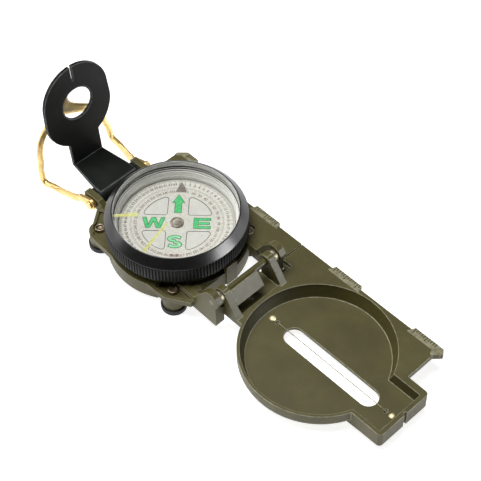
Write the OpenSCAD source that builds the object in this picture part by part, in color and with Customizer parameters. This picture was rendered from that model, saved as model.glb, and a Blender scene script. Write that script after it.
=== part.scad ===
// Folding sighting (lensatic) compass, millimetres, +Z up, standing on its four feet.
// Sizes are worked out in the dial frame: the dial axis is X = Y = 0, the top face of the
// base plate is Z = 0 and the cover opens towards +X. in_frame() then moves every piece so
// that the origin is the centre of the whole object's footprint, on the ground.

/* [Base] */
// Outer radius of the round housing under the plate
housing_r = 24.9; // [24.6:0.1:25.2]
// Depth of the housing below the plate's top face
housing_depth = 7; // [6:0.5:8]
// Thickness of the base plate and of the cover's flange
plate_t = 2.2; // [1.6:0.2:2.4]
// Distance from the dial axis to the straight edge
edge_y = 27.2; // [26.5:0.1:28]
// How far the ruler tabs stand out of the straight edge
tab_out = 1.2; // [0.8:0.1:1.5]
// Height of the whole foot below the plate's top face
foot_depth = 9.6; // [9:0.2:10.5]
// Radius of a foot's rubber pad
pad_r = 4.55; // [4:0.05:4.8]
// Radius of a foot's post
post_r = 3.95; // [3.4:0.05:4]

/* [Bezel and capsule] */
// Outer radius of the turning bezel
bezel_r = 25.2; // [25:0.1:25.6]
// Height of the bezel's lip above the plate
bezel_top = 13; // [12.6:0.1:13.4]
// Radius of the visible glass
glass_r = 22; // [21.8:0.1:22.1]
// Number of grip ribs round the bezel
rib_count = 136; // [90:2:150]
// Height of the floating card above the plate
card_z = 4.6; // [4:0.1:5.5]
// Radius of the floating card
card_r = 20.2; // [19:0.1:20.4]
// Direction of the card's north, from +X
north_deg = 134; // [0:1:359]
// Direction of the long luminous line on the bezel's glass, from +X
long_line_deg = -75.5; // [-180:0.5:180]
// Direction of the short luminous line on the bezel's glass, from +X
short_line_deg = -130.5; // [-180:0.5:180]

/* [Cover] */
// Distance from the dial axis to the cover's hinge axis
hinge_x = 34.35; // [34:0.05:35]
// Height of the cover's hinge axis above the plate
hinge_z = 6.4; // [6.2:0.1:6.8]
// Inner radius of the cover's dish
dish_r = 25.95; // [25.8:0.05:26.1]
// Thickness of the dish wall
dish_wall = 1.15; // [1:0.05:1.3]
// Rounding under the dish
dish_round = 3.2; // [2:0.1:3.4]
// Depth of the dish
dish_depth = 5.2; // [4.8:0.05:5.3]
// Thickness of the dish floor
dish_floor = 1.3; // [1.2:0.05:1.6]
// Distance from the dial axis to the end of the cover's tongue
tongue_end = 106; // [104:0.5:107]
// Half width of the sighting slot
slot_half = 3.6; // [3:0.1:4]

/* [Sight bracket] */
// Distance from the dial axis to the rear hinge axis
rear_x = 31.6; // [31.2:0.1:32]
// Height of the rear hinge axis above the plate
rear_z = -0.4; // [-0.6:0.1:0]
// Distance from the rear hinge axis to the bracket's bend
arm_len = 16.5; // [16:0.1:17]
// Height of the arm's upper face above the rear hinge axis
arm_top = 2.8; // [2.6:0.1:3]
// Thickness of the bracket
bracket_t = 1.5; // [1.3:0.1:1.6]
// Half width of the bracket's head
head_r = 14.3; // [13.5:0.1:15]
// Distance from the bend to the lens centre
lens_s = 25.6; // [25:0.1:26]
// Lean of the head away from the dial when it is raised
head_lean = 5; // [3:0.5:6]
// Radius of the clear lens opening
lens_r = 6.15; // [5.5:0.05:6.3]

/* [Thumb loop] */
// Radius of the wire
wire_r = 1.15; // [0.9:0.05:1.15]
// Length of the loop's arms
loop_arm = 24.1; // [23:0.1:26]
// Half width of the loop at its corners
loop_half = 16.15; // [15:0.05:17]
// Height of the arch above the corners
arch_h = 23; // [21:0.2:24]
// Droop of the arms below level when the loop is swung back
loop_droop = 11; // [8:0.1:12]

/* [Hidden] */
$fn = 96;
fit = 0.05;                     // radial clearance of everything that turns on a pin
gap = 0.15;                     // clearance between faces that part or slide
pin_r = 0.9;
seam_x = hinge_x;               // the base and cover meet under the hinge axis
dish_x = 2 * hinge_x;           // the closed dish is centred on the dial
dish_or = dish_r + dish_wall;          // outer radius of the dish
cover_bottom = -dish_depth - dish_floor;
tongue_left = -10.9;
tongue_right = 12.2;
slot_ends = [57.6, 91];         // centres of the sighting slot's round ends
wire_ends = [49.6, 98.65];
wire_hole_depth = 0.9;          // below the dish's floor
rivet_x = [47.3, 101.5];
loop_back = rear_x + loop_arm * cos(loop_droop) + arch_h * sin(loop_droop) + wire_r;
origin_x = (tongue_end - loop_back) / 2;
origin_y = (edge_y + tab_out - dish_or) / 2;

// Left and right feet, front and rear
foot_pos = [[-21, -18], [17.4, -18], [-21, 18], [16.8, 18.5]];
tab_top = 0.25;                 // the ruler tabs stand a little above the plate
pocket_z = -1.2;                // floor of the recess round each foot screw
pad_top = -7.1;

// Web and bottom cover inside the housing
web_z = -1;
cover_seat = -5.9;
cover_screw_r = 16;

// Front hinge ears, side to side
ear_in = 13.4;
ear_out = 16;
leg_in = 8.9;
leg_out = 11.7;
washer_r = 2.5;
sleeve_r = 1.3;

// Rear hinge ears
rear_ear_in = 9.7;
rear_ear_out = 12;
paddle_in = 12.2;
paddle_out = 13.6;

// Bezel stack, from the outside in
collar_r = 22.7;
bore_r = 21.9;
bezel_bottom = 3.2;
bezel_shoulder = 9.6;
lip_under = 9.2;
glass_top = 10.6;
glass_t = 0.88;

// ---------- helpers ----------

module in_frame() {
    translate([-origin_x, -origin_y, foot_depth]) children();
}

// A profile drawn in X and Z, given thickness from y0 to y1
module side_slab(y0, y1) {
    translate([0, y1, 0]) rotate([90, 0, 0]) linear_extrude(y1 - y0) children();
}

// Both mirror images across the middle plane Y = 0
module both_sides() {
    children();
    mirror([0, 1, 0]) children();
}

// A bar along Y, centred on Y = 0
module cross_bar(r, half, x, z) {
    translate([x, half, z]) rotate([90, 0, 0]) cylinder(r = r, h = 2 * half);
}

module tube(r_out, r_in, h) {
    difference() {
        cylinder(r = r_out, h = h);
        translate([0, 0, -1]) cylinder(r = r_in, h = h + 2);
    }
}

module slab(z0, z1) {
    translate([0, 0, z0]) linear_extrude(z1 - z0) children();
}

module at_feet() {
    for (p = foot_pos) translate([p[0], p[1], 0]) children();
}

// A ruler tab with a slanting start, from x0 to x1 along the straight edge
module ruler_tab(x0, x1) {
    slab(-plate_t, tab_top)
        polygon([
            [x0, edge_y - 1.5], [x0 + 1.3, edge_y + tab_out],
            [x1, edge_y + tab_out], [x1 + 0.8, edge_y - 1.5]
        ]);
}

// ---------- base ----------

module plate_outline() {
    polygon([
        [-28.2, -13], [-20.6, -23], [-9, -23.6], [9, -23], [17.8, -22.7],
        [26.2, -17.9], [26.2, -ear_in], [26.2, ear_in], [seam_x - gap, ear_in],
        [seam_x - gap, edge_y], [-25.4, edge_y], [-28.2, edge_y - 2.6]
    ]);
    circle(r = housing_r);
}

// Recess that leaves a thin raised border round the left corners
module left_pocket(sx) {
    slab(pocket_z, 1)
        if (sx < 0)
            polygon([[-26.8, -13.2], [-20.2, -21.8], [-13.5, -22.2], [-14, -12], [-24, -12]]);
        else
            polygon([[12, -21.6], [17.6, -21.6], [24.9, -17.4], [24.9, -16.2], [15.5, -16.2], [12, -19]]);
}

// The front gap lets the cover's hinge legs swing clear of the housing
module front_gap() {
    slab(-20, 20)
        difference() {
            translate([12, -ear_in]) square([40, 2 * ear_in]);
            circle(r = housing_r);
        }
}

module front_ear() {
    side_slab(ear_in, ear_out)
        union() {
            polygon([
                [23.6, -4.5], [36.3, -4.9], [36.3, 5.2], [37.7, 6.6], [37.7, 7.5],
                [36.1, 9.1], [34.35, 9.8], [31.6, 9.3], [28.8, 6], [25.6, 1],
                [17.7, 1], [17.7, pocket_z - 0.5], [22, -plate_t]
            ]);
            translate([33.9, 6.9]) circle(r = 3.4);
        }
    // thicker foot of the ear, under the washer
    side_slab(leg_out + 0.25, ear_in + 0.1)
        polygon([[28, -4.6], [36.3, -4.9], [36.3, 2.6], [34.8, 3.5], [30.5, 3.5], [28, 1.5]]);
}

module rear_ear() {
    side_slab(rear_ear_in, rear_ear_out)
        difference() {
            polygon([
                [-36.3, -2.4], [-35.2, -3.6], [-26, -plate_t], [-26, 0.5],
                [-28.6, 2.6], [-35.4, 2.6], [-36.3, 1.8]
            ]);
            translate([-rear_x, rear_z]) circle(r = pin_r + fit);
        }
}

// The housing wall is cut back round each post
module post_reliefs() {
    difference() {
        at_feet() translate([0, 0, -20]) cylinder(r = post_r + 1.6, h = 20 - plate_t);
        translate([0, 0, -30]) cylinder(r = bore_r + 1, h = 40);
    }
}

module base_body() {
    difference() {
        union() {
            slab(-plate_t, 0) plate_outline();
            difference() {
                union() {
                    translate([0, 0, -housing_depth + 0.7]) cylinder(r = housing_r, h = housing_depth - 1.7);
                    translate([0, 0, -housing_depth]) cylinder(r1 = housing_r - 0.8, r2 = housing_r, h = 0.7);
                }
                post_reliefs();
            }
            cylinder(r = collar_r, h = lip_under - 0.3);
            at_feet() translate([0, 0, pad_top]) cylinder(r = post_r, h = -pad_top - 1.4);
        }
        front_gap();
        left_pocket(-1);
        left_pocket(1);
        translate([0, 0, -20]) cylinder(r = bore_r, h = 40);
        at_feet() translate([0, 0, -20]) cylinder(r = 1.05, h = 30);
        at_feet() translate([0, 0, pocket_z]) cylinder(r = 2.4, h = 5);
        // room for the sight bracket's barrel to turn
        slab(-20, 20) translate([-40, -rear_ear_in + gap]) square([40 - 28.4, 2 * rear_ear_in - 2 * gap]);
    }
    // web inside the bore, with three bosses for the bottom cover's screws
    difference() {
        union() {
            slab(web_z, web_z + 1.9) circle(r = bore_r + 0.5);
            at_cover_screws() translate([0, 0, cover_seat]) cylinder(r = 1.9, h = web_z - cover_seat + 0.1);
        }
        at_cover_screws() translate([0, 0, -20]) cylinder(r = 0.65, h = 20 + web_z + 1);
    }
    // ruler tabs
    ruler_tab(9.8, 22.3);
    slab(-plate_t, tab_top)
        polygon([
            [-28.2, edge_y - 3], [-28.2, edge_y - 1.6], [-25.4, edge_y + tab_out],
            [-20, edge_y + tab_out], [-18.8, edge_y - 1.5], [-26, edge_y - 1.5]
        ]);
    // low blocks where the front of the housing is squared off
    difference() {
        union() {
            slab(-6.4, -0.6) translate([20.2, -12.4]) square([4.6, 16]);
            slab(-housing_depth, -0.6) intersection() {
                circle(r = housing_r + 0.5);
                translate([19, 3.4]) square([7, 12.4]);
            }
            slab(-6.2, 2.9) translate([22.5, -0.5]) square([3.1, 4.9]);
        }
        translate([0, 0, -20]) cylinder(r = housing_r - 1, h = 40);
    }
    // small locating boss behind the left ear
    translate([23.2, -12.2, -plate_t]) cylinder(r = 1.5, h = plate_t + 0.7);
}

module base_frame() {
    color([0.33, 0.33, 0.22]) in_frame() difference() {
        union() {
            base_body();
            both_sides() front_ear();
            both_sides() rear_ear();
        }
        cross_bar(pin_r + fit, 20, hinge_x, hinge_z);
    }
}

module at_cover_screws() {
    for (a = [30, 150, 270]) rotate([0, 0, a]) translate([cover_screw_r, 0, 0]) children();
}

module bottom_cover() {
    color([0.28, 0.28, 0.2]) in_frame() difference() {
        translate([0, 0, cover_seat - 1.02]) cylinder(r = bore_r - 0.05, h = 1);
        at_cover_screws() translate([0, 0, -20]) cylinder(r = 0.7, h = 30);
    }
}

module cover_screws() {
    color([0.55, 0.55, 0.52]) in_frame()
        at_cover_screws() {
            translate([0, 0, cover_seat - 1.55]) cylinder(r = 1.3, h = 0.5);
            translate([0, 0, cover_seat - 1.2]) cylinder(r = 0.6, h = 4.6);
        }
}

module foot_pads() {
    color([0.07, 0.08, 0.07]) in_frame() at_feet() difference() {
        union() {
            translate([0, 0, -foot_depth + 0.4]) cylinder(r = pad_r, h = foot_depth + pad_top - 0.4);
            translate([0, 0, -foot_depth]) cylinder(r1 = pad_r - 0.4, r2 = pad_r, h = 0.4);
        }
        translate([0, 0, -foot_depth + 0.9]) cylinder(r = 1.05, h = 10);
    }
}

module foot_screws() {
    color([0.4, 0.39, 0.33]) in_frame() at_feet() difference() {
        union() {
            translate([0, 0, pocket_z + 0.02]) cylinder(r = 1.95, h = 0.7);
            translate([0, 0, pocket_z + 0.7]) cylinder(r1 = 1.95, r2 = 1.5, h = 0.35);
            translate([0, 0, -foot_depth + 1]) cylinder(r = 1, h = foot_depth + pocket_z - 0.9);
        }
        for (a = [0, 90]) rotate([0, 0, a + 20])
            translate([-1.3, -0.22, pocket_z + 0.6]) cube([2.6, 0.44, 1]);
    }
}

// ---------- capsule ----------

module capsule_bowl() {
    color([0.85, 0.86, 0.82]) in_frame() rotate_extrude() polygon([
        [0, web_z + 1.95], [21.7, web_z + 1.95],
        [21.7, lip_under - 0.1], [21.35, lip_under - 0.1], [21.35, 8],
        [20.95, 8], [20.95, 6.6], [20.6, 6.4], [20.6, 3], [19.6, 2], [0, 2]
    ]);
}

module capsule_gasket() {
    color([0.12, 0.12, 0.12]) in_frame()
        translate([0, 0, 8.02]) tube(21.3, 20.95, 0.36);
}

module capsule_window() {
    color([0.8, 0.9, 0.88, 0.35]) in_frame()
        translate([0, 0, 8.4]) cylinder(r = 21.3, h = 0.6);
}

module pivot_post() {
    color([0.75, 0.62, 0.3]) in_frame() {
        translate([0, 0, 2]) cylinder(r = 1.6, h = 0.5);
        translate([0, 0, 2.4]) cylinder(r = 0.7, h = 1.6);
        translate([0, 0, 4]) cylinder(r1 = 0.5, r2 = 0.08, h = 1.5);
    }
}

module bezel_spring() {
    color([0.6, 0.6, 0.58]) in_frame() {
        rotate([0, 0, 196]) rotate_extrude(angle = 44) translate([23.6, 0.1]) square([0.35, 2.2]);
    }
}

// ---------- bezel ----------

function rib_ring(r_out, r_in, n) = [
    for (i = [0 : 4 * n - 1])
        let (a = i * 90 / n, r = (i % 4 < 2) ? r_out : r_in)
            [r * cos(a), r * sin(a)]
];

module bezel_ring() {
    color([0.09, 0.09, 0.09]) in_frame() {
        rotate_extrude() polygon([
            [collar_r + gap, bezel_bottom], [bezel_r - 0.35, bezel_bottom], [bezel_r - 0.35, bezel_shoulder],
            [bezel_r - 0.15, bezel_shoulder + 0.2],
            [glass_r + 0.4, bezel_top - 0.12], [glass_r + 0.2, bezel_top],
            [glass_r, bezel_top - 0.06], [glass_r, glass_top], [glass_r + 0.55, glass_top],
            [glass_r + 0.55, lip_under], [collar_r + gap, lip_under]
        ]);
        difference() {
            slab(bezel_bottom + 0.2, bezel_shoulder) polygon(rib_ring(bezel_r, bezel_r - 0.3, rib_count));
            translate([0, 0, -1]) cylinder(r = bezel_r - 0.6, h = 20);
        }
    }
}

module bezel_glass() {
    color([0.8, 0.9, 0.88, 0.3]) in_frame()
        translate([0, 0, glass_top - 0.02 - glass_t]) cylinder(r = glass_r + 0.5, h = glass_t);
}

module glass_retainer() {
    color([0.35, 0.35, 0.35]) in_frame()
        translate([0, 0, lip_under + 0.06]) tube(glass_r + 0.52, glass_r, 0.4);
}

module long_luminous_line() {
    color([0.8, 0.85, 0.3]) in_frame() rotate([0, 0, long_line_deg])
        translate([5.8, -0.3, glass_top - 0.01]) cube([15.9, 0.6, 0.08]);
}

module short_luminous_line() {
    color([0.8, 0.85, 0.3]) in_frame() rotate([0, 0, short_line_deg])
        slab(glass_top - 0.01, glass_top + 0.07)
            polygon([[13.4, -0.9], [21.6, -0.45], [21.6, 0.45], [13.4, 0.9]]);
}

// ---------- floating card ----------

// One rounded opening between two arms of the card
module card_window() {
    arm = 3.75;
    rim = 12.7;
    soft = 0.9;
    inner = arm + soft;
    far = sqrt((rim - soft) * (rim - soft) - inner * inner);
    for (c = [[inner, inner], [inner, far], [far, inner]]) translate(c) circle(r = soft);
    intersection() {
        circle(r = rim);
        union() {
            polygon([[arm, inner], [arm, far], [inner, far + 9], [far + 9, inner], [far, arm], [inner, arm]]);
            polygon([[inner, inner], [inner, far + 9], [far + 9, inner]]);
        }
        // keeps the arc inside the rounded corners
        polygon([[0, 0], [0, far], [inner * rim / (rim - soft), far * rim / (rim - soft)], [rim, rim],
                 [far * rim / (rim - soft), inner * rim / (rim - soft)], [far, 0]]);
    }
}

module compass_card() {
    color([0.85, 0.86, 0.8]) in_frame() rotate([0, 0, north_deg - 90]) difference() {
        translate([0, 0, card_z]) cylinder(r = card_r, h = 0.4);
        slab(card_z - 0.15 + 0.35, card_z + 1) for (q = [0 : 3]) rotate([0, 0, 90 * q]) card_window();
        translate([0, 0, card_z - 1]) cylinder(r = 1.3, h = 3);
    }
}

module card_magnet() {
    color([0.3, 0.3, 0.32]) in_frame() rotate([0, 0, north_deg])
        difference() {
            translate([-13, -1.8, card_z - 1.15]) cube([26, 3.6, 1.1]);
            translate([0, 0, 0]) cylinder(r = 1.2, h = 10);
        }
}

module jewel_cap() {
    color([0.72, 0.7, 0.66]) in_frame() difference() {
        union() {
            translate([0, 0, card_z + 0.42]) cylinder(r = 2.4, h = 0.5);
            translate([0, 0, card_z + 0.9]) cylinder(r1 = 2.1, r2 = 1.1, h = 0.7);
            translate([0, 0, card_z - 0.4]) cylinder(r = 1.15, h = 1);
        }
        translate([0, 0, card_z - 1]) cylinder(r = 0.7, h = 1.4);
        translate([0, 0, card_z + 0.3]) cylinder(r1 = 0.7, r2 = 0.2, h = 0.85);
    }
}

// ---------- cover ----------

// Solid of the dish, with its rounded underside, before it is hollowed
module dish_blank() {
    translate([dish_x, 0, 0]) rotate_extrude() {
        translate([0, cover_bottom]) square([dish_or - dish_round, -cover_bottom]);
        translate([0, cover_bottom + dish_round]) square([dish_or, -cover_bottom - dish_round]);
        intersection() {
            translate([dish_or - dish_round, cover_bottom + dish_round]) circle(r = dish_round);
            translate([0, cover_bottom]) square([dish_or, dish_round + 1]);
        }
    }
}

module tongue_outline() {
    corner = 1.5;
    root = dish_x + 20;
    width = tongue_right - tongue_left;
    translate([root, tongue_left]) square([tongue_end - corner - root, width]);
    translate([root, tongue_left + corner]) square([tongue_end - root, width - 2 * corner]);
    for (y = [tongue_left + corner, tongue_right - corner])
        translate([tongue_end - corner, y]) circle(r = corner);
}

module flange_outline() {
    polygon([
        [seam_x + gap, 17.6], [seam_x + gap, edge_y], [97, edge_y], [97, 12],
        [dish_x, 12], [dish_x, 9], [38.6, 9], [38.6, 17.6]
    ]);
}

module hinge_leg() {
    side_slab(leg_in, leg_out)
        difference() {
            union() {
                translate([hinge_x, hinge_z]) circle(r = 2.75);
                polygon([
                    [35.3, 9], [36.4, 8.8], [42.3, 0], [42.3, -2.7], [32.7, -2.7], [32.5, 1.5], [32, 4.6]
                ]);
            }
            translate([hinge_x, hinge_z]) circle(r = pin_r + fit);
        }
}

module lid_body() {
    difference() {
        union() {
            dish_blank();
            slab(cover_bottom, 0) tongue_outline();
            slab(-plate_t, 0) flange_outline();
            // neck between the hinge legs and the dish
            translate([36, -leg_out, -2.7]) cube([10, 2 * leg_out, 1.6]);
            translate([41.2, -leg_out, -2.7]) cube([8, 2 * leg_out, 2.7]);
            // shelf under the hinge, beside the right leg
            translate([31.2, 2.4, -2.7]) cube([5, leg_in - 2.3, 1.6]);
            // floor of the notch beside the right leg
            translate([36.6, leg_out - 1, -plate_t]) cube([3, 7, 0.7]);
            translate([seam_x + gap, ear_out + gap, -plate_t]) cube([5, 2, 0.7]);
        }
        // dish
        translate([dish_x, 0, -dish_depth]) cylinder(r1 = dish_r - 1.5, r2 = dish_r, h = dish_depth - 0.7);
        translate([dish_x, 0, -0.71]) cylinder(r = dish_r, h = 20);
        // tongue
        translate([dish_x, -9.4, -dish_depth]) cube([tongue_end - 1.8 - dish_x, 18.9, 20]);
        // sighting slot
        for (x = slot_ends) translate([x, 0, -20]) cylinder(r = slot_half, h = 40);
        translate([slot_ends[0], -slot_half, -20]) cube([slot_ends[1] - slot_ends[0], 2 * slot_half, 40]);
        // sighting groove down the end wall, in line with the wire
        translate([tongue_end - 0.9, 0.35, -20]) cube([2, 1.2, 40]);
        // blind holes for the wire's ends and through holes for its rivets
        for (x = wire_ends) translate([x, 0, -dish_depth - wire_hole_depth]) cylinder(r = 0.7, h = 40);
        for (x = rivet_x) translate([x, 0, -20]) cylinder(r = 0.65, h = 40);
    }
    ruler_tab(48.4, 61.6);
    ruler_tab(84.6, 98);
    // drop of the last tab past the plate's corner
    slab(-plate_t, tab_top)
        polygon([[96, 24], [97, 24], [99.4, edge_y - 0.6], [98, edge_y + tab_out], [95, edge_y]]);
    // bar that joins the legs
    side_slab(-leg_in - 0.2, 3.3)
        polygon([[36.4, 8.5], [40.1, 3.6], [39, 2.7], [35.4, 7.5]]);
    // small pip on the neck
    translate([38.7, -1.6, -1.3]) cylinder(r = 0.7, h = 1.3);
}

module lid_cover() {
    color([0.35, 0.34, 0.22]) in_frame() {
        lid_body();
        both_sides() hinge_leg();
    }
}

module sighting_wire() {
    color([0.75, 0.7, 0.5]) in_frame()
        translate([wire_ends[0], 0, -dish_depth + 0.16]) rotate([0, 90, 0])
            cylinder(r = 0.15, h = wire_ends[1] - wire_ends[0]);
}

module wire_rivets() {
    color([0.8, 0.68, 0.35]) in_frame() for (x = rivet_x) translate([x, 0, 0]) {
        translate([0, 0, -dish_depth + 0.02]) cylinder(r = 1.2, h = 0.35);
        translate([0, 0, -dish_depth + 0.37]) cylinder(r1 = 1.2, r2 = 0.5, h = 0.35);
        translate([0, 0, cover_bottom + 0.2]) cylinder(r = 0.6, h = dish_floor);
    }
}

module lid_hinge_pin() {
    color([0.75, 0.72, 0.68]) in_frame() cross_bar(pin_r, ear_out - 0.1, hinge_x, hinge_z);
}

module hinge_washers() {
    color([0.78, 0.72, 0.68]) in_frame() both_sides()
        translate([hinge_x, ear_in - 0.1, hinge_z]) rotate([90, 0, 0])
            tube(washer_r, pin_r + fit, ear_in - leg_out - 0.2);
}

module hinge_sleeve() {
    color([0.4, 0.4, 0.28]) in_frame() difference() {
        cross_bar(sleeve_r, leg_in - 0.1, hinge_x, hinge_z);
        cross_bar(pin_r + 0.02, 20, hinge_x, hinge_z);
    }
}

// ---------- sight bracket ----------

// The arm and the barrel, in the rear hinge's own frame
module bracket_arm() {
    difference() {
        union() {
            slab(arm_top - bracket_t, arm_top)
                polygon([
                    [-arm_len, -6.5], [-4.2, -8.2], [0, -8.2], [0, 8.2], [-4.2, 8.2], [-arm_len, 6.5]
                ]);
            cross_bar(2.5, rear_ear_in - gap, 0, 0);
            side_slab(-rear_ear_in + gap, rear_ear_in - gap)
                polygon([[-4, 0.9], [-4, 2.1], [0, 2.45], [0, 0]]);
        }
        cross_bar(pin_r + fit, 20, 0, 0);
    }
}

// The head lies in its own X-Y plane with the bend along the Y axis; +Z is the side that
// faces the dial when the head is raised
module bracket_head() {
    difference() {
        slab(-bracket_t, 0) {
            translate([lens_s - 3.5, 0]) circle(r = head_r);
            translate([lens_s + 2.2, 0]) circle(r = head_r - 0.3);
            polygon([
                [lens_s - 3.5, -head_r], [lens_s + 2.2, -head_r + 0.3],
                [lens_s + 2.2, head_r - 0.3], [lens_s - 3.5, head_r]
            ]);
            polygon([[-0.3, -6.5], [lens_s, -6.9], [lens_s, 6.9], [-0.3, 6.5]]);
        }
        translate([lens_s, 0, -5]) cylinder(r = lens_r, h = 10);
        translate([lens_s, 0, -0.35]) cylinder(r1 = lens_r, r2 = lens_r + 0.4, h = 0.36);
        translate([lens_s, 0, -5]) cylinder(r = 7.1, h = 4.45);
        translate([lens_s + 10.2, -0.4, -5]) cube([20, 0.8, 10]);
    }
}

// Places the head's plane at the bend, leaning back from upright
module at_head() {
    translate([-arm_len, 0, arm_top]) rotate([0, -90 - head_lean, 0]) mirror([0, 0, 1]) children();
}

module at_rear_hinge() {
    translate([-rear_x, 0, rear_z]) children();
}

module eyepiece_bracket() {
    color([0.08, 0.08, 0.08]) in_frame() at_rear_hinge() {
        bracket_arm();
        at_head() bracket_head();
        side_slab(-6.5, 6.5)
            polygon([
                [-arm_len, arm_top], [-arm_len - bracket_t, arm_top + 0.4],
                [-arm_len - bracket_t + 0.5, arm_top - bracket_t + 0.3],
                [-arm_len, arm_top - bracket_t]
            ]);
    }
}

module magnifier_lens() {
    face_r = 60;
    edge_half = 0.15;
    rim = 7;
    sag = face_r - sqrt(face_r * face_r - rim * rim);
    steps = 10;
    function face_h(x) = edge_half + sag - (face_r - sqrt(face_r * face_r - x * x));
    color([0.85, 0.92, 0.92, 0.35]) in_frame() at_rear_hinge() at_head()
        translate([lens_s, 0, -0.95]) rotate_extrude() polygon(concat(
            [for (i = [0 : steps]) [rim * i / steps, face_h(rim * i / steps)]],
            [for (i = [steps : -1 : 0]) [rim * i / steps, -face_h(rim * i / steps)]]
        ));
}

module lens_ring() {
    color([0.15, 0.15, 0.15]) in_frame() at_rear_hinge() at_head()
        translate([lens_s, 0, -bracket_t + 0.02]) tube(7.08, 6.5, 0.3);
}

module rear_hinge_pin() {
    color([0.78, 0.6, 0.28]) in_frame() at_rear_hinge() {
        cross_bar(pin_r, 14.2, 0, 0);
        both_sides() translate([0, 14.4, 0]) rotate([90, 0, 0]) cylinder(r = 1.6, h = 0.65);
    }
}

// ---------- thumb loop ----------

// Side view of the loop: arms along -X, then a right-angle bend up into the arch
bend_r = 2;
shoulder_half = 14.9;
arch_side = 8.8;

// Half of the loop's centre line, from the paddle to the top of the arch
half_route = concat(
    [
        [-4, 12.9, 0], [-5.5, 12.95, -0.1], [-7, 13.1, -0.5], [-9, 13.5, -1.1], [-12, 14.1, -1.1],
        [-15, 14.75, -0.7], [-18, 15.3, -0.1]
    ],
    [for (a = [0 : 18 : 90])
        [-loop_arm + bend_r * (1 - sin(a)), loop_half - 0.2 + 0.2 * sin(a), bend_r * (1 - cos(a))]],
    [[-loop_arm, loop_half - 0.3, 5.5]],
    [for (a = [0 : 10 : 90]) [-loop_arm, shoulder_half * cos(a), arch_side + (arch_h - arch_side) * sin(a)]]
);
route = concat(
    half_route,
    [for (i = [len(half_route) - 2 : -1 : 0]) [half_route[i][0], -half_route[i][1], half_route[i][2]]]
);

// The wire is pressed flat and tall near the paddle, then runs out to round
function ramp(x, from, to) = max(0, min(1, (x - from) / (to - from)));
function thinning(p) = ramp(p[0], -18, -15);
function tallness(p) = min(ramp(p[0], -18, -14), ramp(p[0], -6, -8.5));
function unit(v) = v / norm(v);
function along(i) = unit(route[min(i + 1, len(route) - 1)] - route[max(i - 1, 0)]);
// A side direction that never flips along this route
lean_ref = [0.6, 0, 0.8];
function side_dir(i) = unit(cross(along(i), lean_ref - along(i) * (along(i) * lean_ref)));

module swept_wire(sides) {
    rings = [
        for (i = [0 : len(route) - 1])
            let (
                t = along(i), u = side_dir(i), v = cross(t, u),
                ru = wire_r * (1 - 0.36 * thinning(route[i])), rv = wire_r * (1 + 0.75 * tallness(route[i]))
            )
                [for (k = [0 : sides - 1])
                    route[i] + ru * cos(360 * k / sides) * u + rv * sin(360 * k / sides) * v]
    ];
    points = [for (ring = rings) for (p = ring) p];
    last = len(rings) - 1;
    faces = concat(
        [[for (k = [0 : sides - 1]) k]],
        [for (i = [0 : last - 1]) for (k = [0 : sides - 1])
            [
                i * sides + k, (i + 1) * sides + k,
                (i + 1) * sides + (k + 1) % sides, i * sides + (k + 1) % sides
            ]],
        [[for (k = [sides - 1 : -1 : 0]) last * sides + k]]
    );
    polyhedron(points = points, faces = faces, convexity = 6);
}

module loop_paddle() {
    side_slab(paddle_in, paddle_out)
        difference() {
            union() {
                circle(r = 2.2);
                polygon([[0, -2.2], [-4, -1.7], [-6, -1.4], [-6, 1.2], [-4, 1.6], [0, 2.2]]);
            }
            circle(r = pin_r + fit);
        }
}

module thumb_loop() {
    color([0.8, 0.62, 0.25]) in_frame() at_rear_hinge() rotate([0, -loop_droop, 0]) {
        swept_wire(12);
        both_sides() loop_paddle();
    }
}

base_frame();
bottom_cover();
cover_screws();
foot_pads();
foot_screws();
capsule_bowl();
capsule_gasket();
capsule_window();
pivot_post();
bezel_spring();
lid_hinge_pin();
hinge_washers();
hinge_sleeve();
rear_hinge_pin();
bezel_ring();
bezel_glass();
glass_retainer();
long_luminous_line();
short_luminous_line();
compass_card();
card_magnet();
jewel_cap();
lid_cover();
sighting_wire();
wire_rivets();
eyepiece_bracket();
magnifier_lens();
lens_ring();
thumb_loop();
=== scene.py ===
import math
import bpy
import bmesh
from mathutils import Matrix, Vector


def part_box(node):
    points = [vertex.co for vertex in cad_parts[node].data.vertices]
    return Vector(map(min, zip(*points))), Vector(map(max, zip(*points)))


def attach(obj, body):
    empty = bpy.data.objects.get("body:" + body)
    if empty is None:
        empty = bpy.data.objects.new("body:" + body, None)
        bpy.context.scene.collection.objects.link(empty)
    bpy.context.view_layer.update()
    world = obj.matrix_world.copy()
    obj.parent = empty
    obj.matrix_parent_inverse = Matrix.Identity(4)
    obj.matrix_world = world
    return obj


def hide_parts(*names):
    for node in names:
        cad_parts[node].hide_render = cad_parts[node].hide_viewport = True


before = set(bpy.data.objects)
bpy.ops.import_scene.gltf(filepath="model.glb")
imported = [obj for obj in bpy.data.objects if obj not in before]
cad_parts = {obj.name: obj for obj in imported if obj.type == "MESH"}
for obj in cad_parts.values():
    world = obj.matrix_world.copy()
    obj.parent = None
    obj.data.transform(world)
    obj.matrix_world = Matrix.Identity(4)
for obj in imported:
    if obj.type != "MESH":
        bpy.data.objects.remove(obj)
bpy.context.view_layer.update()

# ---------------------------------------------------------------- places
# Shapes are written in millimetres round the dial: its axis is X = Y = 0 and the base
# plate's top face is Z = 0. at() turns such a point into the model's frame, in metres.
MM = 0.001
PLATE_TOP = 9.6  # above the surface that the feet stand on
ring_low, ring_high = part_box("bezel_ring")
DIAL = Vector(((ring_low.x + ring_high.x) / 2, (ring_low.y + ring_high.y) / 2, PLATE_TOP * MM))
REAR_HINGE_X, REAR_HINGE_Z = -31.6, -0.4
FEET = ((-21, -18), (17.4, -18), (-21, 18), (16.8, 18.5))
RIVETS = ((47.3, 0), (101.5, 0))
MARK_UNDER, MARK_TOP = 10.62, 10.68  # the luminous paint, just above the bezel's glass
CARD_TOP = 5.0
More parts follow.
